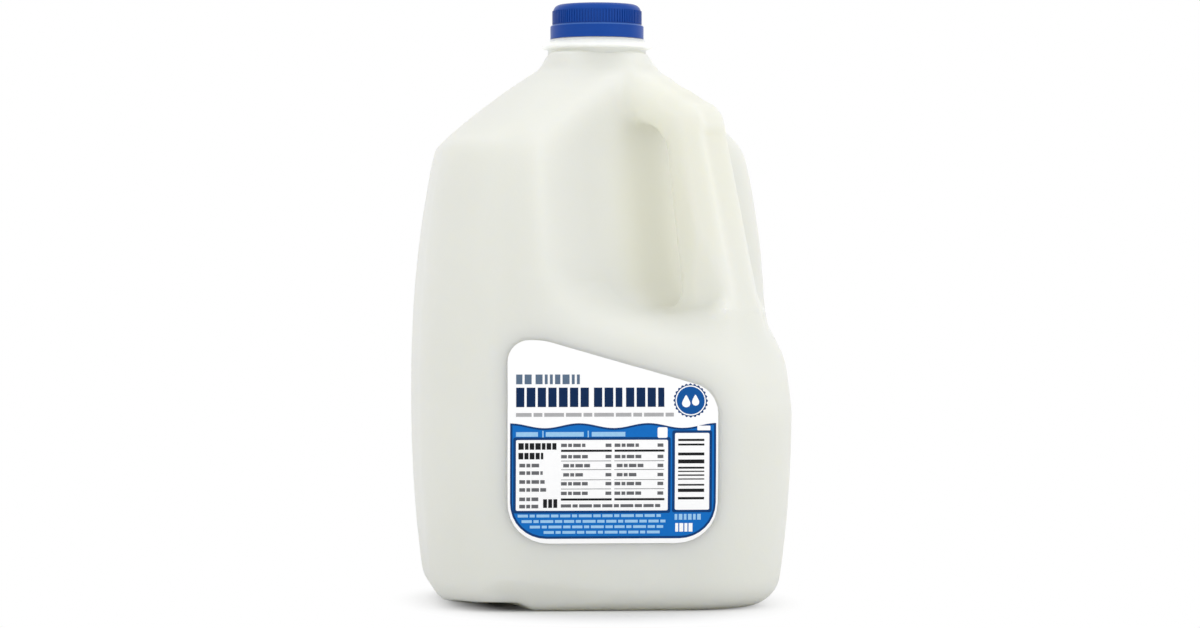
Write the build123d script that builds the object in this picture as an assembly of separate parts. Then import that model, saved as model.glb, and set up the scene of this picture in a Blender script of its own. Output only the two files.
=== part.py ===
from build123d import *
import math
import os

# A one-gallon blow-moulded milk jug, shut and full, with its cap and its stuck-on label.
# Millimetres. The origin is on the neck's axis at the foot, +Z is up and +X points at the
# handle. The body is a rounded square whose corners lie on the X and Y axes, and the mould
# parts on the plane y = 0, which runs through the handle.

# --- body -------------------------------------------------------------------------------
belly_width = 156.0        # flat to flat at the widest level
foot_width = 143.0         # flat to flat just above the foot
crease_width = 135.5       # flat to flat where the walls turn into the shoulder
belly_height = 89.7        # level of the widest section
crease_height = 194.7      # level where the walls end
wall_bow = 2.2             # how late the walls curve in from the belly (2 is a parabola)
corner_radius = 31.0
foot_rounding = 12.0       # rounding all round the foot

# --- shoulder and neck ------------------------------------------------------------------
shoulder_rise = 32.0       # crease to the root of the neck
shoulder_fullness = 1.08   # 1 is a straight cone, 2 a round dome
root_radius = 25.5         # where the shoulder ends and the neck begins
root_square = 0.8          # how much wider than the neck the shoulder ends, still a rounded square
neck_overlap = 10.0        # how far the turned neck reaches down inside the shoulder
neck_flare = 7.5           # radius of the hollow curve from the shoulder up to the throat
throat_radius = 21.1       # the neck at its narrowest, below the ring
throat_rise = 9.9          # root of the neck to the ring's rim
throat_length = 2.0        # straight part of the throat, below the ring's rim
ring_reach = 2.5           # how far the thin ring stands out of the neck
ring_edge = 0.9            # thickness of the ring at its rim
ring_taper = 1.8           # height of the ring's slanted upper side
collar_rise = 1.0          # top of the ring's slant to the top of the collar, under the cap
collar_reach = 0.4         # how far the collar stands out past the cap's band
finish_radius = 17.6       # the mouth's outside, inside the cap
finish_rise = 13.3         # collar to the rim of the mouth

# --- cap --------------------------------------------------------------------------------
cap_clearance = 0.3        # round the mouth, and above the collar
cap_wall = 1.3
cap_top = 1.7              # thickness of the cap's top
cap_rounding = 3.2         # of its upper edge
band_height = 5.7          # smooth tear-off band round the foot of the cap
band_reach = 0.8           # how far the band stands out of the wall at its foot
band_draft = 0.3           # how much less it stands out at its top
band_step = 0.4            # height of the slant from the band back to the wall
rib_count = 96
rib_height = 5.6
rib_depth = 0.35
rib_lift = 0.6             # gap between the band and the foot of the ribs

# --- handle and the hollow beside it ----------------------------------------------------
handle_width = 29.0        # across, along Y
handle_facet = 6.3         # chamfer along the handle's long edges
grip_depth_top = 17.3      # outside to finger side, at the top of the grip
grip_depth_foot = 25.6     # the same at its foot
grip_inset_top = 33.2      # the grip's outside, in from the belly's corner, at the top
grip_inset_foot = 13.9     # the same at its foot
finger_gap = 20.0          # between the body and the handle
gap_rounding = 8.0         # the finger gap's corners
gap_drop = 2.0             # how far the gap's floor lies below the hollow's wall foot
bend_rounding = 8.0        # the handle's bend at the top
bend_lift = 13.0           # the bend's corner above the crease
gap_lift = 4.0             # the top of the finger gap above the crease
top_rise = 7.0             # the handle's top line above the neck's root, inside the neck
spread_inset = 3.0         # how far inside the belly's corner the handle's spread ends
spread_tuck = 12.0         # the same at the spread's buried foot
spread_drop = 14.0         # how far below the belly that foot is
grip_foot_height = 119.7   # where the grip starts to spread into the corner
ledge_height = 127.7       # foot of the hollow, at the body's wall
ledge_slope = 19.0         # degrees that the ledge falls outwards
ledge_lip = 31.0           # width of the ledge's steeper outer lip
lip_past = 1.2             # how far the cut of the lip runs, in widths of the lip
lip_slope = 40.0           # degrees that the lip falls
hollow_rounding = 13.0     # where the hollow's wall meets its ledge

# --- knock at the foot, where the front wall meets the corner at -Y ------------------------
# Places along the wall are measured from its middle, towards the corner.
knock_start = 52.0         # upper end of the crease in the wall
knock_height = 14.5        # its height there
knock_end = 33.0           # lower end of the crease, on the foot's rounding
knock_foot = 2.0           # its height there
knock_depth = 2.2          # how far the wall is pressed in below the crease's upper end
knock_level = 4.0          # the height at which it is pressed in that far
lift_start = 31.5          # where the foot starts to lift off the ground
lift_height = 3.2          # how high it is lifted
lift_run = 11.0            # length along the wall over which it lifts that far
lift_turn = 20.0           # the lift's lower edge runs back under the foot by this much along
lift_depth = 29.0          # the wall for this much inwards

# --- label ------------------------------------------------------------------------------
label_width = 86.8
label_height = 84.3        # at its taller, left side
label_foot = 27.9          # its lower edge, above the foot
label_shift = -0.1         # its middle, along the wall from the wall's middle
label_level = 15.0         # length of its level upper edge, before the slant
label_slant = 16.0         # how much lower its right side ends
label_thickness = 0.2
label_corner_foot = 17.0   # radius of its two lower corners
label_corner_left = 9.0    # radius of its upper left corner
label_corner_right = 12.0  # radius of its upper right corner

# --- worked out -------------------------------------------------------------------------
neck_root = crease_height + shoulder_rise
ring_height = neck_root + throat_rise
collar_top = ring_height + ring_edge + ring_taper + collar_rise
rim_height = collar_top + finish_rise
cap_foot = collar_top + cap_clearance
cap_bore = finish_radius + cap_clearance
cap_radius = cap_bore + cap_wall
collar_radius = cap_radius + band_reach + collar_reach
jug_height = rim_height + cap_top
front_wall = Plane(origin=(0, 0, 0), x_dir=(1, 1, 0), z_dir=(1, -1, 0))
shoulder_levels = (0.0, 0.16, 0.36, 0.56, 0.74, 0.9)  # shares of its rise that get a section
roundest = 0.96            # a section's corner radius, at most, as a share of its half width


def half_width(z):
    """Half the width across the flats of the body's walls at height z."""
    if z < belly_height:
        narrowing, span = belly_width - foot_width, belly_height
    else:
        narrowing, span = belly_width - crease_width, crease_height - belly_height
    share = abs(z - belly_height) / span
    return (belly_width - narrowing * share**wall_bow) / 2


def corner_reach(half, radius):
    """Distance from the axis to the rounded corner of a square section."""
    return (half - radius) * math.sqrt(2) + radius


def section(z, half, radius):
    """One rounded square section with its corners on the X and Y axes."""
    return Plane.XY.offset(z) * RectangleRounded(2 * half, 2 * half, radius, rotation=45)


def walls(growth=0.0):
    """The body from foot to crease, grown outwards all round by growth."""
    below = [belly_height * step / 3 for step in range(3)]
    above = [belly_height + (crease_height - belly_height) * step / 4 for step in range(5)]
    return loft([section(z, half_width(z) + growth, corner_radius + growth) for z in below + above])


def shoulder():
    """The dome between the crease and the root of the neck, from square to round."""
    rings = []
    for share in shoulder_levels:
        fall = (1 - share**shoulder_fullness) ** (1 / shoulder_fullness)
        half = root_radius + (crease_width / 2 - root_radius) * fall
        radius = corner_radius + (root_radius - corner_radius) * share
        rings.append(section(crease_height + shoulder_rise * share, half, min(radius, roundest * half)))
    top = section(neck_root, root_radius + root_square, root_radius)
    return loft(rings + [top])


def neck():
    """The neck with its thin ring, its collar and the mouth under the cap."""
    foot = neck_root - neck_overlap
    throat_foot = ring_height - throat_length
    ring_top = ring_height + ring_edge
    with BuildPart() as turned:
        with BuildSketch(Plane.XZ):
            with BuildLine():
                Polyline((0, foot), (root_radius, foot), (root_radius, neck_root))
                RadiusArc((root_radius, neck_root), (throat_radius, throat_foot), neck_flare)
                Polyline(
                    (throat_radius, throat_foot),
                    (throat_radius, ring_height - ring_edge),
                    (throat_radius + ring_reach, ring_height),
                    (throat_radius + ring_reach, ring_top),
                    (collar_radius, ring_top + ring_taper),
                    (collar_radius, collar_top),
                    (finish_radius, collar_top),
                    (finish_radius, rim_height),
                    (0, rim_height),
                    (0, foot),
                )
            make_face()
        revolve(axis=Axis.Z)
    return turned.part


def grip_lines():
    """The handle's four long corners in the plane y = 0: outside and finger side."""
    corner = corner_reach(belly_width / 2, corner_radius)
    top, foot = crease_height + gap_lift, grip_foot_height
    outer_top = (corner - grip_inset_top, top)
    outer_foot = (corner - grip_inset_foot, foot)
    inner_top = (outer_top[0] - grip_depth_top, top)
    inner_foot = (outer_foot[0] - grip_depth_foot, foot)
    return outer_top, outer_foot, inner_top, inner_foot


def hollow_wall(z):
    """Distance from the axis to the flat wall behind the finger gap at height z."""
    _, _, inner_top, inner_foot = grip_lines()
    share = min((z - inner_foot[1]) / (inner_top[1] - inner_foot[1]), 1.0)
    return inner_foot[0] + (inner_top[0] - inner_foot[0]) * share - finger_gap


def hollow():
    """What the mould leaves out of the handle's corner, on both sides of the handle."""
    far, high = belly_width, jug_height
    corner = corner_reach(belly_width / 2, corner_radius)
    start = hollow_wall(ledge_height)
    lip_start = corner - ledge_lip
    lip_height = ledge_height - (lip_start - start) * math.tan(math.radians(ledge_slope))
    lip_end = lip_start + lip_past * ledge_lip
    lip_foot = lip_height - (lip_end - lip_start) * math.tan(math.radians(lip_slope))
    bend = crease_height + gap_lift
    outline = Polyline(
        (start, ledge_height),
        (lip_start, lip_height),
        (lip_end, lip_foot),
        (far, lip_foot),
        (far, high),
        (hollow_wall(bend), high),
        (hollow_wall(bend), bend),
        close=True,
    )
    face = make_face(Plane.XZ * outline)
    cutter = extrude(face, amount=belly_width, both=True)
    foot_edge = cutter.edges().filter_by(Axis.Y).sort_by_distance((start, 0, ledge_height))[0]
    return fillet(foot_edge, hollow_rounding)


def handle():
    """The handle: a broad faceted loop from the neck's root down into the corner."""
    outer_top, outer_foot, inner_top, inner_foot = grip_lines()
    corner = corner_reach(belly_width / 2, corner_radius)
    lean = (outer_foot[0] - outer_top[0]) / (outer_top[1] - outer_foot[1])
    bend_height = crease_height + bend_lift
    bend_reach = outer_top[0] - lean * (bend_height - outer_top[1])
    buried = root_radius / 2
    outline = Polyline(
        (buried, neck_root + top_rise),
        (bend_reach, bend_height),
        outer_foot,
        (corner - spread_inset, belly_height),
        (corner - spread_tuck, belly_height - spread_drop),
        (buried, belly_height - spread_drop),
        close=True,
    )
    plate = extrude(make_face(Plane.XZ * outline), amount=handle_width / 2, both=True)
    bend_edge = plate.edges().filter_by(Axis.Y).sort_by_distance((bend_reach, 0, bend_height))[0]
    plate = fillet(bend_edge, bend_rounding)
    sides = plate.faces().filter_by(Axis.Y)
    rim = [e for e in sides.edges() if e.center().X > root_radius and e.center().Z > belly_height]
    return chamfer(rim, handle_facet)


def finger_hole():
    """The gap between the handle and the body, cut right through along Y."""
    _, _, inner_top, inner_foot = grip_lines()
    floor = ledge_height - gap_drop
    lean = (inner_foot[0] - inner_top[0]) / (inner_top[1] - inner_foot[1])
    inner_floor = inner_top[0] + lean * (inner_top[1] - floor)
    buried = hollow_wall(inner_top[1]) - finger_gap / 2
    outline = Polyline(
        (buried, floor),
        (inner_floor, floor),
        inner_top,
        (buried, inner_top[1] + finger_gap / 2),
        close=True,
    )
    slot = extrude(make_face(Plane.XZ * outline), amount=belly_width / 2, both=True)
    return fillet(slot.edges().filter_by(Axis.Y), gap_rounding)


def on_wall(along, height, pressed=0.0):
    """A point on the front wall or on its foot's rounding, or pressed in from there."""
    below = max(foot_rounding - height, 0.0)
    inset = foot_rounding - math.sqrt(foot_rounding**2 - below**2)
    return front_wall.from_local_coords((-along, height, half_width(height) - inset - pressed))


def outside(one, two, three):
    """A block of space on the outer side of the plane through three points of the body."""
    out = (three - one).cross(two - one).normalized()
    face = Plane(origin=one, z_dir=out) * Rectangle(2 * belly_width, 2 * belly_width)
    return extrude(face, amount=belly_width / 2)


def knock():
    """What a knock has taken from the foot: a pressed-in wall and a lifted corner."""
    crease_top = on_wall(knock_start, knock_height)
    crease_end = on_wall(knock_end, knock_foot)
    pressed_point = on_wall(knock_start, knock_level, knock_depth)
    wall = half_width(0)
    lift_foot = front_wall.from_local_coords((-lift_start, 0, wall))
    lift_top = front_wall.from_local_coords((-lift_start - lift_run, lift_height, wall))
    lift_inner = front_wall.from_local_coords((-lift_start - lift_turn, 0, wall - lift_depth))
    return outside(crease_top, crease_end, pressed_point) + outside(lift_foot, lift_inner, lift_top)


def cap():
    """The cap: a turned cup with a smooth band round its foot and fine ribs above it."""
    wall_foot = cap_foot + band_height
    ribs_foot = wall_foot + rib_lift
    core = cap_radius - rib_depth
    edge_foot = jug_height - cap_rounding
    with BuildPart() as turned:
        with BuildSketch(Plane.XZ):
            with BuildLine():
                Polyline(
                    (0, rim_height),
                    (cap_bore, rim_height),
                    (cap_bore, cap_foot),
                    (cap_radius + band_reach, cap_foot),
                    (cap_radius + band_reach - band_draft, wall_foot - band_step),
                    (core, wall_foot),
                    (core, edge_foot),
                )
                RadiusArc((core, edge_foot), (core - cap_rounding, jug_height), -cap_rounding)
                Polyline((core - cap_rounding, jug_height), (0, jug_height), (0, rim_height))
            make_face()
        revolve(axis=Axis.Z)
    points = []
    for step in range(2 * rib_count):
        turn = math.pi * step / rib_count
        radius = cap_radius if step % 2 else core
        points.append((radius * math.cos(turn), radius * math.sin(turn)))
    star = make_face(Plane.XY.offset(ribs_foot) * Polyline(*points, close=True))
    hole = Plane.XY.offset(ribs_foot) * Circle(cap_bore + cap_wall / 3)
    ribs = extrude(star - hole, amount=rib_height)
    return turned.part + ribs


def label(body):
    """The label, a thin solid that follows the wall it is stuck to."""
    left, right = label_shift - label_width / 2, label_shift + label_width / 2
    top = label_foot + label_height
    outline = Polyline(
        (left, label_foot),
        (right, label_foot),
        (right, top - label_slant),
        (left + label_level, top),
        (left, top),
        close=True,
    )
    corners = (
        (left, label_foot, label_corner_foot),
        (right, label_foot, label_corner_foot),
        (left, top, label_corner_left),
        (right, top - label_slant, label_corner_right),
    )
    prism = extrude(front_wall * make_face(outline), amount=belly_width)
    for along, height, radius in corners:
        corner = front_wall.from_local_coords((along, height, belly_width / 2))
        across = prism.edges().filter_by(Axis((0, 0, 0), front_wall.z_dir))
        prism = fillet(across.sort_by_distance(corner)[0], radius)
    return (walls(label_thickness) & prism) - body


def jug():
    """The bottle with its milk: shut and full, so it is solid."""
    body = walls()
    body = fillet(body.faces().sort_by(Axis.Z)[0].edges(), foot_rounding)
    body = body - knock()
    body = body + shoulder() - hollow()
    return body + (handle() - finger_hole()) + neck()


os.makedirs("parts", exist_ok=True)
bottle = jug()
pieces = {"jug": bottle, "cap": cap(), "label": label(bottle)}
for name, piece in pieces.items():
    print(name, round(piece.volume / 1e3, 2), "cm3", len(piece.solids()), "solid", piece.bounding_box())
    export_step(piece, f"parts/{name}.step")
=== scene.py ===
# %% [markdown]
# # A one-gallon milk jug
# The real jug is a thin bottle of natural polyethylene, blown in a two-part mould round a handle
# at one of its corners, with milk showing white through the wall. This lesson builds it around the
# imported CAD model. The frame tells us where each part is, and Blender only adds the looks.

import math

import bpy
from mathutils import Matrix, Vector


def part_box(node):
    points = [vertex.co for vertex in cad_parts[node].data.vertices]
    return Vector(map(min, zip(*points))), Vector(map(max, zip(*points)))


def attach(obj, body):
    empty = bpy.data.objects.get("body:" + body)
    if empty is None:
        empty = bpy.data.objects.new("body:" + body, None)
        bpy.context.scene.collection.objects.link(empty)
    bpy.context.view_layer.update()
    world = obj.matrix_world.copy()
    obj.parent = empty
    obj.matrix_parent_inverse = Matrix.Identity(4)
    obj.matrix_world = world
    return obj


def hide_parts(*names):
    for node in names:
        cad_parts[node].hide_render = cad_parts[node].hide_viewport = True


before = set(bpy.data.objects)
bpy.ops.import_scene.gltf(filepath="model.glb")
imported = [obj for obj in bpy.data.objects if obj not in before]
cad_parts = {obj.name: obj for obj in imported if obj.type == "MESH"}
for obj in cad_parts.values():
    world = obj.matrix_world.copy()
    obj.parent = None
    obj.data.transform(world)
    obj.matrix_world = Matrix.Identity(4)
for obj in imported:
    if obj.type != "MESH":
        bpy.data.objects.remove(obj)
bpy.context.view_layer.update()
jug_low, jug_high = (Vector(corner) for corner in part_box("jug"))
cap_low, cap_high = (Vector(corner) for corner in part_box("cap"))
MM = 0.001
print("CAD box of the jug in mm:", [round(v / MM, 1) for v in (*jug_low, *jug_high)])

# %% [markdown]
# ## Small tools
# A modeller's hand does the same few things again and again: pick by place, apply a modifier,
# turn an outline into a slab. Each gets a short function here, so that the steps below read as steps.


# %% Tools for edit mode
def deselect():
    """Leaves nothing selected, so that the next operator touches only what it should."""
    for item in bpy.context.selected_objects:
        item.select_set(False)


def edit(piece):
    """Opens one piece in edit mode with nothing selected in it."""
    deselect()
    bpy.context.view_layer.objects.active = piece
    piece.select_set(True)
    bpy.ops.object.mode_set(mode="EDIT")
    bpy.ops.mesh.select_mode(type="VERT")
    bpy.ops.mesh.select_all(action="DESELECT")


def done(piece=None):
    """Goes back to object mode and, for a given piece, bakes its place into its mesh."""
    if bpy.context.object.mode != "OBJECT":
        bpy.ops.object.mode_set(mode="OBJECT")
    if piece:
        deselect()
        bpy.context.view_layer.objects.active = piece
        piece.select_set(True)
        bpy.ops.object.transform_apply(location=True, rotation=True, scale=True)


def pick(piece, test, kind="VERT"):
    """Selects, in edit mode, the vertices, edges or faces whose middle passes the test."""
    bpy.ops.object.mode_set(mode="OBJECT")
    mesh = piece.data
    for group in (mesh.vertices, mesh.edges, mesh.polygons):
        for item in group:
            item.select = False
    points = mesh.vertices
    if kind == "VERT":
        for vertex in points:
            vertex.select = test(vertex.co)
    elif kind == "EDGE":
        for side in mesh.edges:
            ends = [points[index].co for index in side.vertices]
            side.select = test(ends[0]) and test(ends[1])
    else:
        for face in mesh.polygons:
            face.select = test(face.center)
    bpy.ops.object.mode_set(mode="EDIT")
    bpy.ops.mesh.select_mode(type=kind)


def modify(piece, kind, **settings):
    """Adds one modifier with its settings and applies it."""
    deselect()
    bpy.context.view_layer.objects.active = piece
    piece.select_set(True)
    modifier = piece.modifiers.new(kind.title(), kind)
    for name, value in settings.items():
        setattr(modifier, name, value)
    bpy.ops.object.modifier_apply(modifier=modifier.name)


def cut(piece, tool, operation="DIFFERENCE"):
    """Joins a tool to a piece or takes it away, and throws the tool out."""
    modify(piece, "BOOLEAN", object=tool, operation=operation, solver="EXACT")
    bpy.data.objects.remove(tool, do_unlink=True)


def outward(piece):
    """Merges doubles and turns every face outwards."""
    edit(piece)
    bpy.ops.mesh.select_all(action="SELECT")
    bpy.ops.mesh.remove_doubles(threshold=1e-6)
    bpy.ops.mesh.normals_make_consistent(inside=False)
    done()


def slab(name, points, thickness, along=(0, 1, 0)):
    """A slab whose outline is drawn point by point and then extruded both ways."""
    deselect()
    first = Vector(points[0])
    bpy.ops.mesh.primitive_plane_add(size=MM, location=first)
    piece = bpy.context.object
    piece.name = name
    done(piece)
    edit(piece)
    bpy.ops.mesh.select_all(action="SELECT")
    bpy.ops.mesh.merge(type="CENTER")
    here = first
    for point in points[1:]:
        step = Vector(point) - here
        bpy.ops.mesh.extrude_vertices_move(TRANSFORM_OT_translate={"value": step})
        here = Vector(point)
    bpy.ops.mesh.select_all(action="SELECT")
    bpy.ops.mesh.edge_face_add()
    whole = Vector(along) * thickness
    bpy.ops.transform.translate(value=-whole / 2)
    bpy.ops.mesh.extrude_region_move(TRANSFORM_OT_translate={"value": whole})
    done()
    outward(piece)
    return piece


# %% [markdown]
# ## The body
# The body is a rounded square that swells a little to its belly and then runs in to the shoulder.
# It could be a lathe shape squeezed square, but drawing the foot once and extruding it level by
# level, with a resize at each level, keeps the flat walls flat and the corners round.

# %% Body sizes
BELLY_HALF = 78.0 * MM
FOOT_HALF = 71.5 * MM
CREASE_HALF = 67.8 * MM
BELLY_Z = 89.7 * MM
CREASE_Z = 194.7 * MM
ROOT_Z = 226.7 * MM
ROOT_RADIUS = 25.5 * MM
CORNER_RADIUS = 31.0 * MM
FOOT_ROUNDING = 12.0 * MM
WALL_BOW = 2.2
SHOULDER_FULLNESS = 1.08
TURN = math.pi / 4


def wall_half(z):
    """Half the width across the walls at height z."""
    if z < BELLY_Z:
        narrowing, span = BELLY_HALF - FOOT_HALF, BELLY_Z
    else:
        narrowing, span = BELLY_HALF - CREASE_HALF, CREASE_Z - BELLY_Z
    return BELLY_HALF - narrowing * (abs(z - BELLY_Z) / span) ** WALL_BOW


def ring_half(piece):
    """Half the width, square to a wall, of the level that is selected."""
    bpy.ops.object.mode_set(mode="OBJECT")
    reach = max((v.co.x + v.co.y) / math.sqrt(2) for v in piece.data.vertices if v.select)
    bpy.ops.object.mode_set(mode="EDIT")
    return reach


def raise_level(piece, rise, half, roundness=0.0):
    """Extrudes the selected top face upwards and sets its new half width."""
    bpy.ops.mesh.extrude_region_move(TRANSFORM_OT_translate={"value": (0, 0, rise)})
    if roundness:
        bpy.ops.transform.tosphere(value=roundness)
    scale = half / ring_half(piece)
    bpy.ops.transform.resize(value=(scale, scale, 1), center_override=(0, 0, 0))


# %% Raise the body from its foot
deselect()
bpy.ops.mesh.primitive_plane_add(size=2 * wall_half(0), rotation=(0, 0, TURN))
body = bpy.context.object
body.name = "jug_shell"
done(body)
edit(body)
bpy.ops.mesh.select_all(action="SELECT")
bpy.ops.mesh.bevel(offset=CORNER_RADIUS, segments=14, affect="VERTICES")
foot_inset = wall_half(0) - FOOT_ROUNDING
scale = foot_inset / ring_half(body)
bpy.ops.transform.resize(value=(scale, scale, 1), center_override=(0, 0, 0))
level = 0.0
for step in range(1, 9):
    angle = step / 8 * math.pi / 2
    z = FOOT_ROUNDING * (1 - math.cos(angle))
    raise_level(body, z - level, foot_inset + (wall_half(z) - foot_inset) * math.sin(angle))
    level = z
for step in range(1, 25):
    z = FOOT_ROUNDING + (CREASE_Z - FOOT_ROUNDING) * step / 24
    raise_level(body, z - level, wall_half(z))
    level = z
for step in range(1, 13):
    share = step / 13
    z = CREASE_Z + (ROOT_Z - CREASE_Z) * share
    fall = (1 - share**SHOULDER_FULLNESS) ** (1 / SHOULDER_FULLNESS)
    raise_level(body, z - level, ROOT_RADIUS + (CREASE_HALF - ROOT_RADIUS) * fall, 0.03 + 0.22 * share**2)
    level = z
raise_level(body, ROOT_Z - level, ROOT_RADIUS, 1.0)
for rise, radius in ((1.5, 23.9), (1.5, 22.8), (2.0, 22.1), (1.5, 21.4), (1.5, 20.8)):
    raise_level(body, rise * MM, radius * MM, 1.0)
done()
outward(body)
print("body levels:", len(body.data.vertices), "vertices")

# %% [markdown]
# ## The knock at the foot
# A full jug is soft, and this one has been set down hard on the corner left of its label. The wall
# is pressed in below a slanting crease, and the corner of the foot is lifted off the table. Two
# cuts shape it: a bisect plane for the wall and a tapering slab under the foot.

# %% Knock the corner in
WALL = Vector((1, -1, 0)).normalized()
ALONG = Vector((1, 1, 0)).normalized()
UP = Vector((0, 0, 1))


def on_wall(x, z, inwards=0.0):
    """A point in metres from a place on the labelled wall in millimetres."""
    return ALONG * x * MM + UP * z * MM + WALL * (wall_half(z * MM) - inwards * MM)


crease_top, crease_end, pressed = on_wall(-52, 14.5), on_wall(-33, 2, 5.4), on_wall(-52, 4, 5.3)
out = (pressed - crease_top).cross(crease_end - crease_top).normalized()
edit(body)
bpy.ops.mesh.select_all(action="SELECT")
bpy.ops.mesh.bisect(plane_co=crease_top, plane_no=out, clear_outer=True, use_fill=True)
done()
outward(body)
lifted = [(-31.5, 0.9), (-38, 4.2), (-54, 4.6), (-62, 5.4), (-70, 6.2), (-95, 7.5), (-95, -20), (-31.5, -20)]
lift = slab("lift", [ALONG * x * MM + UP * z * MM + WALL * FOOT_HALF for x, z in lifted], 150 * MM, WALL + UP * 0.08)
cut(body, lift)
print("knocked:", len(body.data.polygons), "faces")

# %% [markdown]
# ## The hollow and the handle
# At the handle's corner the mould leaves out a big wedge, so that fingers fit behind the handle.
# A slab drawn as the wedge's side view and cut away gives both sides at once. The handle is an
# eight-sided loop: a slab drawn as its side view, with its long edges chamfered, which
# gives the long flat facets that the real handle has.

# %% Cut the hollow
LEDGE_X, LEDGE_Z = 36.9 * MM, 127.7 * MM
LEDGE_FALL = math.tan(math.radians(19))
LIP_X, LIP_FALL = 72 * MM, math.tan(math.radians(36))
HOLLOW_TOP_X, HOLLOW_TOP_Z = 27.0 * MM, 198.7 * MM
CORNER_X = jug_high.x
far = 2 * CORNER_X
hollow = slab("hollow", [
    (LEDGE_X, 0, LEDGE_Z),
    (LIP_X, 0, LEDGE_Z - (LIP_X - LEDGE_X) * LEDGE_FALL),
    (far, 0, LEDGE_Z - (LIP_X - LEDGE_X) * LEDGE_FALL - (far - LIP_X) * LIP_FALL),
    (far, 0, jug_high.z),
    (HOLLOW_TOP_X, 0, jug_high.z),
    (HOLLOW_TOP_X, 0, HOLLOW_TOP_Z),
], 4 * CORNER_X)
edit(hollow)
pick(hollow, lambda p: (p - Vector((LEDGE_X, p.y, LEDGE_Z))).length < MM, "EDGE")
bpy.ops.mesh.bevel(offset=9 * MM, segments=8, affect="EDGES")
done()
# What the cut takes off the corner is kept as a copy: it becomes the handle's spreading foot.
deselect()
body.select_set(True)
bpy.context.view_layer.objects.active = body
bpy.ops.object.duplicate()
spread = bpy.context.object
cut(body, hollow)
print("body with its hollow:", len(body.data.polygons), "faces")

# %% Spread the handle's foot into the corner
SPREAD_TOP, SPREAD_FOOT = 138.0, 86.0
fan = slab("fan", [
    (78 * MM, y * MM, z * MM) for y, z in ((-7, SPREAD_TOP), (-34, SPREAD_FOOT), (34, SPREAD_FOOT), (7, SPREAD_TOP))
], 28 * MM, (1, 0, 0))
cut(spread, fan, "INTERSECT")
edit(spread)
bpy.ops.mesh.select_all(action="SELECT")
bpy.ops.mesh.bisect(
    plane_co=(83.0 * MM, 0, 119.7 * MM), plane_no=Vector((0.94, 0, 0.342)), clear_outer=True, use_fill=True
)
done()
outward(spread)
print("spread:", len(spread.data.polygons), "faces")

# %% Shape the handle
HALF_GRIP = 14.5 * MM
GRIP_TOP, GRIP_FOOT = 198.7, 119.7
BEND = (62.1, 207.7)
handle = slab("handle", [
    (x * MM, 0, z * MM)
    for x, z in ((12.8, 233.7), (42.0, 220.0), BEND, (83.6, GRIP_FOOT), (94.5, 89.7), (85.5, 75.7), (12.8, 75.7))
], 2 * HALF_GRIP)
edit(handle)
pick(handle, lambda p: (p - Vector((BEND[0] * MM, p.y, BEND[1] * MM))).length < MM, "EDGE")
bpy.ops.mesh.bevel(offset=4 * MM, segments=5, affect="EDGES")
pick(handle, lambda p: abs(p.y) > HALF_GRIP - 0.1 * MM and p.z > 80 * MM, "EDGE")
bpy.ops.mesh.bevel(offset=6.3 * MM, segments=1, affect="EDGES", clamp_overlap=False)
# The facet between side and back fans out towards the foot: two plane cuts a side.
for side in (1, -1):
    top, foot = Vector((66.2, 14.5 * side, 160.7)), Vector((65.9, 14.5 * side, GRIP_FOOT))
    back_foot, back_top = Vector((83.6, 8.2 * side, GRIP_FOOT)), Vector((73.5, 8.2 * side, 160.7))
    for third, fourth in ((foot, back_foot), (back_foot, back_top)):
        normal = (third - top).cross(fourth - top).normalized()
        bpy.ops.mesh.select_all(action="SELECT")
        bpy.ops.mesh.bisect(
            plane_co=top * MM, plane_no=normal * math.copysign(1, normal.x), clear_outer=True, use_fill=True
        )
done()
outward(handle)
print("handle block:", len(handle.data.polygons), "faces")

# %% Cut the finger gap
GAP_FLOOR = 125.7
finger_hole = slab("finger_hole", [
    (x * MM, 0, z * MM) for x, z in ((17, GAP_FLOOR), (57.2, GAP_FLOOR), (47.0, GRIP_TOP), (17, 208.7))
], 80 * MM)
edit(finger_hole)
for x, z in ((57.2, GAP_FLOOR), (47.0, GRIP_TOP)):
    pick(finger_hole, lambda p: (p - Vector((x * MM, p.y, z * MM))).length < MM, "EDGE")
    bpy.ops.mesh.bevel(offset=7 * MM, segments=6, affect="EDGES")
done()
cut(handle, finger_hole)


def grip_inside(p):
    """True on the two long edges of the grip's finger side."""
    inside = 47.0 * MM + (GRIP_TOP * MM - p.z) * 0.139
    return abs(p.y) > HALF_GRIP - 0.1 * MM and abs(p.x - inside) < 1.5 * MM and p.z > GAP_FLOOR * MM - MM


edit(handle)
pick(handle, grip_inside, "EDGE")
bpy.ops.mesh.bevel(offset=3.5 * MM, segments=3, affect="EDGES", clamp_overlap=False)
done()
outward(handle)
ends = [round(v / MM, 1) for v in handle.bound_box[0]], [round(v / MM, 1) for v in handle.bound_box[6]]
print("handle from", ends[0], "to", ends[1])

# %% [markdown]
# ## From crisp solids to a blown bottle
# A blown wall has no sharp edge: the plastic bridges every corner with a radius. Bevelling each
# edge of such a shape is slow and fails where curved faces meet. So the two solids are fused by a
# voxel remesh, and then smoothed: a little everywhere, more on the shoulder and the hollow's
# rims, and least on the handle, whose facets stay legible.

# %% Fuse and soften
deselect()
body.select_set(True)
handle.select_set(True)
spread.select_set(True)
bpy.context.view_layer.objects.active = body
bpy.ops.object.join()
modify(body, "REMESH", mode="VOXEL", voxel_size=1.5 * MM, use_smooth_shade=True)
print("fused:", len(body.data.vertices), "vertices")


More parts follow.
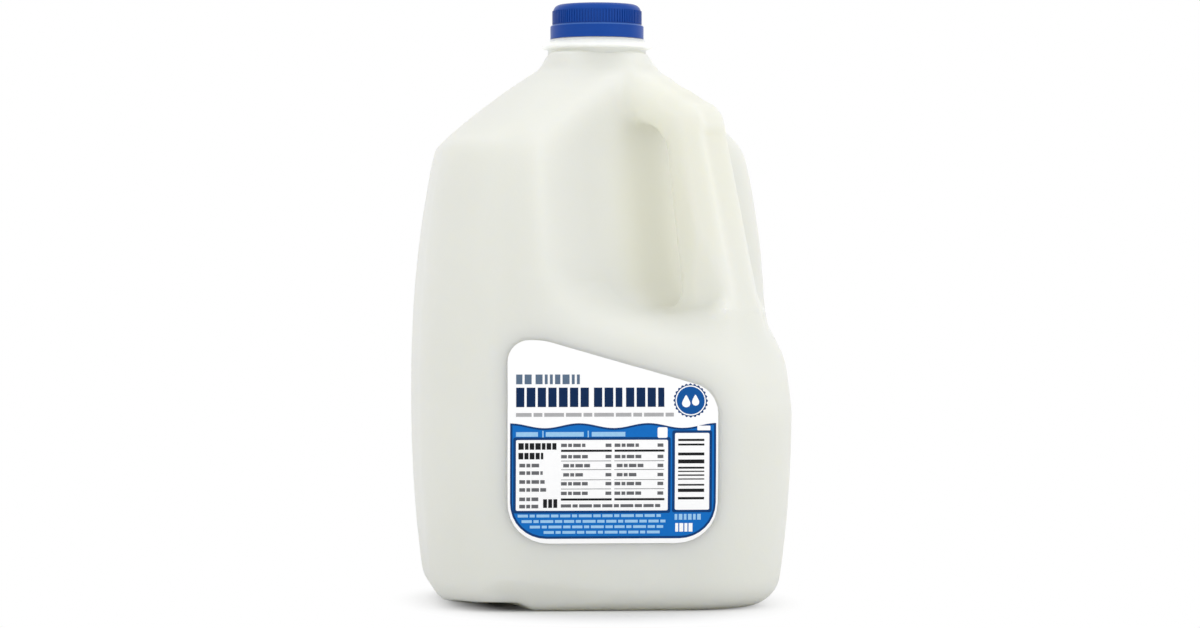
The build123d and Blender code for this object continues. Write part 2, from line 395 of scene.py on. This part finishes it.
def soften(piece, name, test, rounds):
    """Relaxes the vertices that pass the test, that many times."""
    edit(piece)
    pick(piece, test)
    group = piece.vertex_groups.new(name=name)
    bpy.ops.object.vertex_group_assign()
    done()
    modify(piece, "SMOOTH", factor=0.5, iterations=rounds, vertex_group=group.name)


def on_handle(p):
    """True on the handle, clear of the body."""
    return abs(p.y) < 17 * MM and p.x > 44 * MM and p.z > 124 * MM


def on_roll(p):
    """True on the hollow's lower rim, where the walls roll over into the ledge."""
    return p.x > 20 * MM and 82 * MM < p.z < 146 * MM and not on_handle(p)


def on_wall_rim(p):
    """True on the strip of the lower rim that lies next to a wall."""
    in_from_wall = wall_half(p.z) - (abs(p.x) + abs(p.y)) / math.sqrt(2)
    return p.x > 24 * MM and 86 * MM < p.z < 136 * MM and in_from_wall < 24 * MM and not on_handle(p)


def on_side_rim(p):
    """True on the hollow's upright rims and where its sides meet the shoulder."""
    return 14 * MM < p.x and 140 * MM < p.z < 222 * MM and not on_handle(p)


def on_bridge(p):
    """True on the handle's top run and where it grows out of the shoulder."""
    return 16 * MM < p.x < 62 * MM and p.z > 188 * MM


def on_finger_side(p):
    """True on the grip's side towards the body."""
    return abs(p.y) < 18 * MM and 40 * MM < p.x < 63 * MM and 118 * MM < p.z < 205 * MM


soften(body, "all", lambda p: p.z > 1 * MM, 5)
soften(body, "roll", on_roll, 180)
soften(body, "wall_rim", on_wall_rim, 260)
soften(body, "side_rim", on_side_rim, 70)
soften(body, "bridge", on_bridge, 20)
soften(body, "finger_side", on_finger_side, 14)
soften(body, "neck_root", lambda p: ROOT_Z - 9 * MM < p.z < ROOT_Z + 5 * MM and not on_bridge(p), 24)
soften(body, "shoulder", lambda p: not on_handle(p) and 183 * MM < p.z < 222 * MM, 12)

# %% [markdown]
# ## The neck
# The neck is the one precise part of the bottle, so it is turned, not remeshed: a circle is
# extruded level by level like on a lathe, with the thin ring that the filling line grips, and is
# then joined to the softened shoulder.

# %% Turn the neck
# Each level: height above the neck's root and radius.
neck_levels = [
    (-8.0, 19.0), (5.0, 19.0), (6.2, 20.9), (7.2, 21.1), (9.0, 21.1), (9.4, 21.7),
    (9.7, 23.1), (9.9, 23.6), (10.8, 23.6), (11.0, 23.3), (12.6, 20.4), (13.5, 20.4), (13.6, 17.6), (26.9, 17.6),
]
deselect()
rise, radius = neck_levels[0]
bpy.ops.mesh.primitive_circle_add(
    vertices=144, radius=radius * MM, fill_type="NGON", location=(0, 0, ROOT_Z + rise * MM)
)
neck = bpy.context.object
neck.name = "neck"
done(neck)
edit(neck)
bpy.ops.mesh.select_all(action="SELECT")
for before, after in zip(neck_levels, neck_levels[1:]):
    step = (0, 0, (after[0] - before[0]) * MM)
    bpy.ops.mesh.extrude_region_move(TRANSFORM_OT_translate={"value": step})
    grow = after[1] / before[1]
    bpy.ops.transform.resize(value=(grow, grow, 1), center_override=(0, 0, 0))
done()
outward(neck)
cut(body, neck, "UNION")
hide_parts("jug")
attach(body, "root")
print("jug:", len(body.data.polygons), "faces")

# %% [markdown]
# ## The cap
# The cap is an injection-moulded cup: a smooth band that tears off, a groove, then fine ribs for
# the grip and a rounded edge. A cylinder with two sides for each rib is sliced into levels, and
# every second side of one level is extruded a little.

# %% Make the cap
RIBS = 96
CAP_FOOT, CAP_TOP = cap_low.z, cap_high.z
BAND_RADIUS = cap_high.x
CORE_RADIUS = 18.85 * MM
RIB_FOOT, RIB_TOP = CAP_FOOT + 6.3 * MM, CAP_FOOT + 11.9 * MM
BAND_TOP = CAP_FOOT + 5.7 * MM
deselect()
bpy.ops.mesh.primitive_cylinder_add(
    vertices=2 * RIBS, radius=CORE_RADIUS, depth=CAP_TOP - CAP_FOOT, location=(0, 0, (CAP_TOP + CAP_FOOT) / 2)
)
cap = bpy.context.object
cap.name = "cap_shell"
done(cap)
edit(cap)
pick(cap, lambda p: p.z > CAP_TOP - 0.01 * MM, "EDGE")
bpy.ops.mesh.bevel(offset=3.2 * MM, segments=8, affect="EDGES")
band_levels = (CAP_FOOT + 0.4 * MM, BAND_TOP - 0.4 * MM, BAND_TOP, RIB_FOOT, RIB_TOP)
for height in band_levels:
    bpy.ops.mesh.select_all(action="SELECT")
    bpy.ops.mesh.bisect(plane_co=(0, 0, height), plane_no=(0, 0, 1))


def side_faces(low, high, every=1):
    """A test for the side faces between two heights, or for every second one round the cap."""
    def test(p):
        if not low < p.z < high or math.hypot(p.x, p.y) < CORE_RADIUS * 0.99:
            return False
        return round(math.atan2(p.y, p.x) / (math.pi / RIBS) - 0.5) % every == 0
    return test


pick(cap, side_faces(RIB_FOOT, RIB_TOP, 2), "FACE")
bpy.ops.mesh.extrude_faces_move(TRANSFORM_OT_shrink_fatten={"value": 0.35 * MM})
pick(cap, side_faces(CAP_FOOT, BAND_TOP), "FACE")
bpy.ops.mesh.extrude_region_shrink_fatten(TRANSFORM_OT_shrink_fatten={"value": BAND_RADIUS - CORE_RADIUS})
# The band's top edge is drawn in a little, so that it catches a thin line of light.
pick(cap, lambda p: abs(p.z - BAND_TOP) < 0.01 * MM and math.hypot(p.x, p.y) > BAND_RADIUS - 0.1 * MM)
bpy.ops.transform.resize(value=(0.978, 0.978, 1), center_override=(0, 0, 0))
done()
outward(cap)
size = [round(v / MM, 2) for v in cap.dimensions]
print("cap:", size, "mm,", len(cap.data.polygons), "faces")
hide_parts("cap")
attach(cap, "root")

# %% [markdown]
# ## The label
# The label is a printed film stuck on the front wall. Its print is kept to fields of colour and
# plain bars, with no words on it. Each colour is a thin sheet of its own, cut to shape, laid on
# the wall with a shrinkwrap and given the thickness of ink, so the edges stay sharp at any distance.

# %% Label tools
LABEL_LEFT, LABEL_RIGHT = -43.5, 43.3
LABEL_FOOT, LABEL_TOP = 27.9, 112.2
LABEL_LEVEL = 15.0
LABEL_FALL = math.tan(math.radians(16))
INK = 0.03


def round_corner(corner, before, after, radius, steps=8):
    """Points of an arc that rounds one corner of an outline."""
    corner, before, after = Vector(corner), Vector(before), Vector(after)
    one, two = (before - corner).normalized(), (after - corner).normalized()
    half_angle = one.angle(two) / 2
    middle = corner + (one + two).normalized() * (radius / math.sin(half_angle))
    start = corner + one * (radius / math.tan(half_angle))
    end = corner + two * (radius / math.tan(half_angle))
    arms = start - middle, end - middle
    sweep = arms[0].angle(arms[1])
    points = []
    for step in range(steps + 1):
        share = step / steps
        low, high = math.sin((1 - share) * sweep), math.sin(share * sweep)
        points.append(middle + (arms[0] * low + arms[1] * high) / math.sin(sweep))
    return points


def rounded(corners):
    """An outline from (x, y, radius) corners in millimetres, with each corner rounded."""
    outline = []
    for index, (x, y, radius) in enumerate(corners):
        before = corners[index - 1][:2]
        after = corners[(index + 1) % len(corners)][:2]
        outline += round_corner((x, y), before, after, radius) if radius else [Vector((x, y))]
    return outline


def bar(x, y, width, height, radius=0.0):
    """A bar's outline from its lower left corner, in millimetres on the label."""
    return rounded([(x, y, radius), (x + width, y, radius), (x + width, y + height, radius), (x, y + height, radius)])


def disc(x, y, radius, steps=48):
    """A round outline in millimetres on the label."""
    turns = (2 * math.pi * step / steps for step in range(steps))
    return [Vector((x + radius * math.cos(t), y + radius * math.sin(t))) for t in turns]


def sheet(name, outlines, layer, material=None):
    """One colour of the print: all its outlines as one thin sheet that follows the wall."""
    deselect()
    curve = bpy.data.curves.new(name, "CURVE")
    curve.dimensions = "2D"
    curve.fill_mode = "BOTH"
    for outline in outlines:
        spline = curve.splines.new("POLY")
        spline.points.add(len(outline) - 1)
        for point, place in zip(spline.points, outline):
            point.co = (place.x * MM, place.y * MM, 0, 1)
        spline.use_cyclic_u = True
    piece = bpy.data.objects.new(name, curve)
    bpy.context.collection.objects.link(piece)
    piece.rotation_euler = (math.pi / 2, 0, TURN)
    piece.location = WALL * (BELLY_HALF + 4 * MM)
    bpy.context.view_layer.objects.active = piece
    piece.select_set(True)
    bpy.ops.object.convert(target="MESH")
    piece = bpy.context.object
    done(piece)
    edit(piece)
    for height in range(26, 114, 3):
        bpy.ops.mesh.select_all(action="SELECT")
        bpy.ops.mesh.bisect(plane_co=(0, 0, height * MM), plane_no=(0, 0, 1))
    for place in range(-45, 46, 6):
        bpy.ops.mesh.select_all(action="SELECT")
        bpy.ops.mesh.bisect(plane_co=ALONG * place * MM, plane_no=ALONG)
    done()
    modify(
        piece, "SHRINKWRAP", target=body, wrap_method="NEAREST_SURFACEPOINT",
        wrap_mode="ABOVE_SURFACE", offset=(0.06 + INK * layer) * MM,
    )
    modify(piece, "SOLIDIFY", thickness=0.05 * MM, offset=-1)
    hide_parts("label")
    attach(piece, "root")
    print(name, len(piece.data.polygons), "faces")
    return piece


# %% Cut the film and the blue field
label_outline = rounded([
    (LABEL_LEFT, LABEL_FOOT, 17), (LABEL_RIGHT, LABEL_FOOT, 17),
    (LABEL_RIGHT, LABEL_TOP - (LABEL_RIGHT - LABEL_LEFT - LABEL_LEVEL) * LABEL_FALL, 12),
    (LABEL_LEFT + LABEL_LEVEL, LABEL_TOP, 30), (LABEL_LEFT, LABEL_TOP, 9),
])
white_film = sheet("label_film", [label_outline], 0)
BLUE_LEFT, BLUE_RIGHT, BLUE_FOOT = -42.4, 42.4, 29.9
WAVE_Z, WAVE_RISE, WAVE_LENGTH = 76.9, 1.0, 28.4


def wave_at(x, drop=0.0):
    """A point of the wavy line along the top of the blue field."""
    return Vector((x, WAVE_Z - drop + WAVE_RISE * math.cos(2 * math.pi * (x - BLUE_LEFT) / WAVE_LENGTH)))


def field(left, right, foot, radius, drop):
    """The blue field's outline: the wave on top and round corners below."""
    steps = 72
    top = [wave_at(left + (right - left) * step / steps, drop) for step in range(steps + 1)]
    return top + rounded([(right, 60, 0), (right, foot, radius), (left, foot, radius), (left, 60, 0)])


navy_field = sheet("label_navy_field", [field(BLUE_LEFT, BLUE_RIGHT, BLUE_FOOT, 15, 0)], 1)
inner_left, inner_right, inner_foot = BLUE_LEFT + 0.9, BLUE_RIGHT - 0.9, BLUE_FOOT + 1.0
blue_field = sheet("label_blue_field", [field(inner_left, inner_right, inner_foot, 14, 0.8)], 2)

# %% Cut the white fields and their navy frames
PANEL = (-40.0, 41.7, 62.5, 29.3)
STRIPES = (25.4, 41.9, 14.2, 31.9)
white_panels = sheet("label_panels", [
    bar(*PANEL, 0.6), bar(*STRIPES, 0.6), bar(18.2, 71.8, 4.1, 4.4, 0.7), bar(34.6, 74.9, 5.4, 1.9, 0.3),
], 4)


def framed(x, y, width, height, line=1.1):
    """The outline of a frame round a field."""
    return bar(x - line, y - line, width + 2 * line, height + 2 * line, 0.9)


frames = sheet("label_frames", [framed(*PANEL), framed(*STRIPES)], 3)

# %% Lay out the plain bars
def words(left, right, middle, height, lengths, gap=0.7):
    """A row of plain bars that stands for a line of print; the lengths repeat along it."""
    bars = []
    x, index = left, 0
    while right - x > 0.8:
        length = min(lengths[index % len(lengths)], right - x)
        bars.append(bar(x, middle - height / 2, length, height))
        x += length + gap
        index += 1
    return bars


SHORT, MIXED, LONG = (2.4, 1.6, 3.1), (4.2, 2.1, 5.3, 3.0), (6.4, 3.6, 8.1)
black_bars = words(-39.0, -23.4, 68.4, 2.7, (2.2, 1.5, 1.9), 0.45) + words(-39.0, -28.8, 64.4, 2.7, (2.0, 1.7), 0.45)
black_bars += words(-28.8, -23.0, 44.7, 3.6, (1.6,), 0.5)
for x, length in ((-21.5, 20.9), (0.5, 20.6)):
    black_bars += [bar(x, height, length, 0.9) for height in (66.1, 45.9)]
grey_rows = []
for middle, right in ((60.5, -30), (57.4, -29), (53.7, -28.2), (50.4, -27.2), (46.5, -30.8), (43.5, -30.8)):
    grey_rows += words(-38.6, right, middle, 1.5, SHORT, 0.5)
for row, middle in enumerate((68.8, 64.1, 60.4, 56.6, 52.9, 48.9)):
    for left, right in ((-21.5, -0.6), (0.5, 20.8)):
        grey_rows += words(left + 0.9 * (row in (2, 3)), left + 10 + row % 3, middle, 1.4, SHORT, 0.5)
        grey_rows += [bar(right - 2.6, middle - 0.7, 2.4, 1.4)]
grey_rows += words(-21.5, 19.7, 43.7, 1.3, MIXED, 0.6)
thin_rules = [bar(x, height, 20.6, 0.25) for x in (-21.5, 0.4) for height in (62.2, 58.6, 54.4, 50.6)]
title = []
for left, right in ((-40.0, -9.9), (-8.0, 3.7), (5.2, 21.0)):
    title += words(left, right, 88.6, 8.0, (3.4, 3.6, 3.4), 0.95)
subtitle = words(-40.0, -33.6, 96.0, 4.0, (2.6, 2.9), 0.9) + words(-32.0, -13.6, 96.0, 4.0, (2.9, 1.2, 1.2, 2.2), 0.9)
small_print = words(-40.0, 24.9, 81.4, 1.6, LONG, 0.8)
light_rows = [bar(-40.0, 72.4, 9.0, 1.9), bar(-27.8, 72.4, 15.6, 1.9), bar(-8.9, 72.4, 13.8, 1.9)]
light_rows += [bar(-29.2, 72.0, 0.5, 2.8), bar(-10.6, 72.0, 0.5, 2.8)]
for left, right, middle in ((-39.2, 19.7, 39.5), (-37.6, 21.9, 37.2), (-34.2, 20.7, 34.9), (-28.5, 20.7, 32.6)):
    light_rows += words(left, right, middle, 1.15, MIXED, 0.7)
light_rows += words(25.4, 36.4, 38.9, 2.4, (1.1, 1.5), 0.6)
white_blocks = words(25.7, 33.6, 34.5, 3.6, (1.2, 1.6), 0.5)
# Each bar of the striped panel: its middle's height and its own height.
stripes = [
    (70.9, 0.9), (69.0, 0.8), (65.1, 1.2), (62.0, 1.6), (59.4, 0.8), (57.9, 0.5), (56.3, 0.6),
    (54.7, 0.5), (52.3, 0.7), (50.0, 1.4), (46.7, 1.0),
]
dark_stripes = [bar(26.7, middle - height / 2, 10.8, height) for middle, height in stripes]

# %% Cut the round badge
BADGE_X, BADGE_Z, BADGE_RADIUS = 31.9, 87.3, 7.2


def scallops(radius, depth, count):
    """A round outline with a scalloped edge."""
    outline = []
    for step in range(count * 8):
        turn = 2 * math.pi * step / (count * 8)
        reach = radius - depth * (1 - math.cos(count * turn)) / 2
        outline.append(Vector((BADGE_X + reach * math.cos(turn), BADGE_Z + reach * math.sin(turn))))
    return outline


def drop(x, y, radius, steps=40):
    """A drop: a round foot drawn up to a point."""
    outline = []
    for step in range(steps):
        turn = 2 * math.pi * step / steps
        tip = max(0.0, math.sin(turn)) ** 3
        outline.append(Vector((x + radius * math.cos(turn) * (1 - 0.4 * tip), y + radius * (math.sin(turn) + tip))))
    return outline


badge_edge = sheet("badge_edge", [scallops(BADGE_RADIUS, 0.6, 24)], 1)
badge_ring = sheet("badge_ring", [disc(BADGE_X, BADGE_Z, 6.3)], 2)
badge_face = sheet("badge_face", [disc(BADGE_X, BADGE_Z, 5.8)], 3)
badge_drops = sheet("badge_drops", [drop(BADGE_X - 1.9, BADGE_Z - 1.2, 1.7), drop(BADGE_X + 2.0, BADGE_Z - 0.6, 1.5)], 4)

# %% Print the bars
black_print = sheet("label_black_bars", black_bars + dark_stripes, 5)
grey_print = sheet("label_grey_rows", grey_rows + thin_rules, 5)
title_print = sheet("label_title_bars", title, 1)
pale_print = sheet("label_pale_bars", subtitle, 1)
small_rows = sheet("label_small_rows", small_print, 1)
light_print = sheet("label_light_rows", light_rows, 3)
white_print = sheet("label_white_blocks", white_blocks, 3)


# %% [markdown]
# ## Materials
# Each material is one function that builds its nodes: a base finish, then what makes the real
# surface uneven, and in places painted light. Colours are written as they look, in sRGB hex, and turned to linear light
# once.

# %% Material tools
def linear(hex_colour):
    """An sRGB hex colour as linear RGBA."""
    values = [int(hex_colour[i:i + 2], 16) / 255 for i in (0, 2, 4)]
    return [v / 12.92 if v <= 0.04045 else ((v + 0.055) / 1.055) ** 2.4 for v in values] + [1.0]


def new_material(name):
    """An empty node material with a Principled shader; returns it, its tree and the shader."""
    material = bpy.data.materials.new(name)
    material.use_nodes = True
    return material, material.node_tree, material.node_tree.nodes["Principled BSDF"]


def add(tree, kind, inputs=None, **settings):
    """Adds a node with its settings; an input is a value or another node's output to link."""
    node = tree.nodes.new(kind)
    for name, value in settings.items():
        setattr(node, name, value)
    for name, value in (inputs or {}).items():
        if isinstance(value, bpy.types.NodeSocket):
            tree.links.new(value, node.inputs[name])
        else:
            node.inputs[name].default_value = value
    return node


def jug_plastic():
    """Natural polyethylene over milk: soft, a little translucent, ivory white."""
    material, tree, shader = new_material("natural_polyethylene_over_milk")
    place = add(tree, "ShaderNodeTexCoord").outputs["Object"]
    cloud = add(tree, "ShaderNodeTexNoise", {"Vector": place, "Scale": 22.0, "Detail": 3.0})
    tint = add(tree, "ShaderNodeMix", {
        "Factor": cloud.outputs["Fac"], "A": linear("DFE0D9"), "B": linear("E3E4DE"),
    }, data_type="RGBA")
    # The base colour is a little yellower round the handle's corner and the hollow behind it.
    centred = add(tree, "ShaderNodeVectorMath", {0: place, 1: (0.044, 0.0, 0.165)}, operation="SUBTRACT")
    squeezed = add(tree, "ShaderNodeVectorMath", {0: centred.outputs[0], 1: (32.0, 34.0, 15.0)}, operation="MULTIPLY")
    reach = add(tree, "ShaderNodeVectorMath", {0: squeezed.outputs[0]}, operation="LENGTH")
    yellow_patch = add(tree, "ShaderNodeMapRange", {
        "Value": reach.outputs["Value"], "From Min": 0.5, "From Max": 1.25, "To Min": 1.0, "To Max": 0.0,
    }, interpolation_type="SMOOTHSTEP")
    tint = add(tree, "ShaderNodeMix", {
        "Factor": yellow_patch.outputs["Result"], "A": tint.outputs["Result"], "B": linear("E1E1D5"),
    }, data_type="RGBA")
    grain = add(tree, "ShaderNodeTexNoise", {"Vector": place, "Scale": 900.0, "Detail": 2.0})
    bump = add(tree, "ShaderNodeBump", {"Height": grain.outputs["Fac"], "Strength": 0.06, "Distance": 0.0004})
    # Painted light: an emission glow in the hollow and on the neck stands in for light that comes through the milk and
    # through the thin empty neck.
    centred = add(tree, "ShaderNodeVectorMath", {0: place, 1: (0.030, 0.0, 0.165)}, operation="SUBTRACT")
    squeezed = add(tree, "ShaderNodeVectorMath", {0: centred.outputs[0], 1: (40.0, 26.0, 13.0)}, operation="MULTIPLY")
    inwards = add(tree, "ShaderNodeVectorMath", {0: squeezed.outputs[0]}, operation="LENGTH")
    hollow_glow = add(tree, "ShaderNodeMapRange", {
        "Value": inwards.outputs["Value"], "From Min": 0.35, "From Max": 1.15, "To Min": 0.10, "To Max": 0.0,
    }, interpolation_type="SMOOTHSTEP")
    height = add(tree, "ShaderNodeSeparateXYZ", {"Vector": place})
    neck_glow = add(tree, "ShaderNodeMapRange", {
        "Value": height.outputs["Z"], "From Min": 0.2335, "From Max": 0.2385, "To Min": 0.0, "To Max": 0.22,
    }, interpolation_type="SMOOTHSTEP")
    glow = add(tree, "ShaderNodeMath", {0: hollow_glow.outputs["Result"], 1: neck_glow.outputs["Result"]}, operation="ADD")
    tree.links.new(glow.outputs[0], shader.inputs["Emission Strength"])
    shader.inputs["Emission Color"].default_value = linear("FDFDF2")
    tree.links.new(tint.outputs["Result"], shader.inputs["Base Color"])
    tree.links.new(bump.outputs["Normal"], shader.inputs["Normal"])
    shader.inputs["Roughness"].default_value = 0.42
    shader.inputs["IOR"].default_value = 1.5
    shader.inputs["Subsurface Weight"].default_value = 1.0
    shader.inputs["Subsurface Radius"].default_value = (1.0, 0.95, 0.8)
    shader.inputs["Subsurface Scale"].default_value = 0.018
    return material


def cap_plastic():
    """Blue injection-moulded polyethylene, satin."""
    material, tree, shader = new_material("blue_polyethylene")
    place = add(tree, "ShaderNodeTexCoord").outputs["Object"]
    cloud = add(tree, "ShaderNodeTexNoise", {"Vector": place, "Scale": 60.0, "Detail": 3.0})
    tint = add(tree, "ShaderNodeMix", {
        "Factor": cloud.outputs["Fac"], "A": linear("023E94"), "B": linear("05459E"),
    }, data_type="RGBA")
    # A paler line is painted round the band's top edge: a painted highlight where that edge catches the light.
    height = add(tree, "ShaderNodeSeparateXYZ", {"Vector": place})
    away = add(tree, "ShaderNodeMath", {0: height.outputs["Z"], 1: BAND_TOP}, operation="SUBTRACT")
    away = add(tree, "ShaderNodeMath", {0: away.outputs[0]}, operation="ABSOLUTE")
    edge_highlight = add(tree, "ShaderNodeMapRange", {
        "Value": away.outputs[0], "From Min": 0.0001, "From Max": 0.0005, "To Min": 0.55, "To Max": 0.0,
    })
    tint = add(tree, "ShaderNodeMix", {
        "Factor": edge_highlight.outputs["Result"], "A": tint.outputs["Result"], "B": linear("5F8ED6"),
    }, data_type="RGBA")
    grain = add(tree, "ShaderNodeTexNoise", {"Vector": place, "Scale": 2500.0, "Detail": 2.0})
    bump = add(tree, "ShaderNodeBump", {"Height": grain.outputs["Fac"], "Strength": 0.08, "Distance": 0.0002})
    tree.links.new(tint.outputs["Result"], shader.inputs["Base Color"])
    tree.links.new(bump.outputs["Normal"], shader.inputs["Normal"])
    shader.inputs["Roughness"].default_value = 0.36
    shader.inputs["Specular IOR Level"].default_value = 0.2
    return material


def ink(name, low, high):
    """One ink or film colour of the label, with the faint mottle of print."""
    material, tree, shader = new_material(name)
    place = add(tree, "ShaderNodeTexCoord").outputs["Object"]
    mottle = add(tree, "ShaderNodeTexNoise", {"Vector": place, "Scale": 700.0, "Detail": 3.0})
    tint = add(tree, "ShaderNodeMix", {
        "Factor": mottle.outputs["Fac"], "A": linear(low), "B": linear(high),
    }, data_type="RGBA")
    tree.links.new(tint.outputs["Result"], shader.inputs["Base Color"])
    shader.inputs["Roughness"].default_value = 0.55
    shader.inputs["Specular IOR Level"].default_value = 0.12
    return material


white_ink = ink("white_label_film", "FBFBFC", "FFFFFF")
blue_ink = ink("blue_flexo_ink", "0868BC", "0D6FC4")
navy_ink = ink("navy_flexo_ink", "04386F", "083F7A")
title_ink = ink("deep_navy_flexo_ink", "03234A", "082B56")
slate_ink = ink("slate_flexo_ink", "53677F", "64778D")
grey_ink = ink("grey_flexo_ink", "A7A7A9", "B3B3B5")
row_ink = ink("dark_grey_flexo_ink", "5C5D60", "707174")
black_ink = ink("black_flexo_ink", "151618", "202124")
light_ink = ink("light_blue_flexo_ink", "8FC0E8", "A5CFEF")
badge_ink = ink("badge_flexo_ink", "0A4F96", "0E579F")
coats = (
    (body, jug_plastic()), (cap, cap_plastic()), (white_film, white_ink), (navy_field, navy_ink),
    (blue_field, blue_ink), (frames, navy_ink), (white_panels, white_ink), (black_print, black_ink),
    (grey_print, row_ink), (title_print, title_ink), (pale_print, slate_ink), (small_rows, grey_ink),
    (light_print, light_ink), (badge_edge, navy_ink), (badge_ring, white_ink), (badge_face, badge_ink),
    (badge_drops, white_ink), (white_print, white_ink),
)
for piece, material in coats:
    piece.data.materials.clear()
    piece.data.materials.append(material)
for piece in (body, cap):
    deselect()
    piece.select_set(True)
    bpy.context.view_layer.objects.active = piece
    bpy.ops.object.shade_smooth_by_angle(angle=math.radians(32))

# %% [markdown]
# ## Floor, light and camera
# A pale floor and big soft lamps, as on a packshot table. The camera stands level at the height
# of the jug's middle, a little to the left of square to the labelled wall, with a long lens.

# %% Floor
deselect()
bpy.ops.mesh.primitive_plane_add(size=12.0, location=(0, 0, 0))
floor = bpy.context.object
floor.name = "floor"
material, tree, shader = new_material("white_table")
shader.inputs["Roughness"].default_value = 0.9
place = add(tree, "ShaderNodeTexCoord").outputs["Object"]
# Painted shade: the floor's colour is a little darker near the jug, which darkens the table round its foot and the
# light it throws back onto the jug's lower walls.
distance = add(tree, "ShaderNodeVectorMath", {0: place}, operation="LENGTH")
near = add(tree, "ShaderNodeMapRange", {
    "Value": distance.outputs["Value"], "From Min": 0.10, "From Max": 0.45, "To Min": 0.0, "To Max": 1.0,
})
shaded_tone = add(tree, "ShaderNodeMix", {
    "Factor": near.outputs["Result"], "A": linear("E4E4E4"), "B": linear("F6F6F6"),
}, data_type="RGBA")
tree.links.new(shaded_tone.outputs["Result"], shader.inputs["Base Color"])
turned = add(tree, "ShaderNodeMapping", {"Vector": place, "Rotation": (0.0, 0.0, TURN)})
squeezed = add(tree, "ShaderNodeVectorMath", {0: turned.outputs[0], 1: (7.4, 12.5, 1.0)}, operation="MULTIPLY")
reach = add(tree, "ShaderNodeVectorMath", {0: squeezed.outputs[0]}, operation="LENGTH")
fade = add(tree, "ShaderNodeMapRange", {
    "Value": reach.outputs["Value"], "From Min": 0.6, "From Max": 1.12, "To Min": 0.0, "To Max": 1.0,
}, interpolation_type="SMOOTHSTEP")
paths = add(tree, "ShaderNodeLightPath")
seen = add(tree, "ShaderNodeMath", {0: paths.outputs["Is Camera Ray"], 1: fade.outputs["Result"]}, operation="MULTIPLY")
glow = add(tree, "ShaderNodeEmission", {"Color": (1, 1, 1, 1), "Strength": 1.0})
mixed = add(tree, "ShaderNodeMixShader", {0: seen.outputs[0], 1: shader.outputs[0], 2: glow.outputs[0]})
tree.links.new(mixed.outputs[0], tree.nodes["Material Output"].inputs["Surface"])
floor.data.materials.append(material)

# %% World and lamps
world = bpy.data.worlds.new("studio")
bpy.context.scene.world = world
world.use_nodes = True
tree = world.node_tree
for node in list(tree.nodes):
    tree.nodes.remove(node)
paths = add(tree, "ShaderNodeLightPath")
direct = add(tree, "ShaderNodeMath", {0: paths.outputs["Is Camera Ray"], 1: paths.outputs["Is Glossy Ray"]}, operation="MAXIMUM")
direct = add(tree, "ShaderNodeMath", {0: direct.outputs[0], 1: paths.outputs["Is Transmission Ray"]}, operation="MAXIMUM")
white = add(tree, "ShaderNodeBackground", {"Color": (1, 1, 1, 1), "Strength": 1.0})
soft = add(tree, "ShaderNodeBackground", {"Color": (1, 1, 1, 1), "Strength": 0.95})
mixed = add(tree, "ShaderNodeMixShader", {0: direct.outputs[0], 1: soft.outputs[0], 2: white.outputs[0]})
out = add(tree, "ShaderNodeOutputWorld", {"Surface": mixed.outputs[0]})

AZIMUTH = math.radians(40)
TOWARDS = Vector((math.sin(AZIMUTH), -math.cos(AZIMUTH), 0))
RIGHT = Vector((math.cos(AZIMUTH), math.sin(AZIMUTH), 0))
MIDDLE = Vector((0, 0, 0.1227))


def lamp(name, place, size, power):
    """A square soft box aimed at the jug's middle."""
    light = bpy.data.lights.new(name, "AREA")
    light.shape = "SQUARE"
    light.size = size
    light.energy = power
    item = bpy.data.objects.new(name, light)
    bpy.context.collection.objects.link(item)
    item.location = place
    item.rotation_euler = (MIDDLE - place).to_track_quat("-Z", "Y").to_euler()
    return item


lamp("key", MIDDLE + TOWARDS * 1.1 - RIGHT * 0.5 + UP * 1.1, 1.0, 1.6)
lamp("fill", MIDDLE + TOWARDS * 0.9 + RIGHT * 1.3 + UP * 0.9, 1.0, 3.6)
lamp("back", MIDDLE - TOWARDS * 0.4 + RIGHT * 0.1 + UP * 1.5, 1.0, 1.6)

# %% Camera
camera_data = bpy.data.cameras.new("camera")
camera_data.lens = 120.0
camera_data.sensor_width = 36.0
camera = bpy.data.objects.new("camera", camera_data)
bpy.context.collection.objects.link(camera)
camera.location = MIDDLE + TOWARDS * 1.717 + RIGHT * 1.3 * MM
camera.rotation_euler = (math.pi / 2, 0, AZIMUTH)
bpy.context.scene.camera = camera
bpy.context.scene.view_settings.view_transform = "Standard"
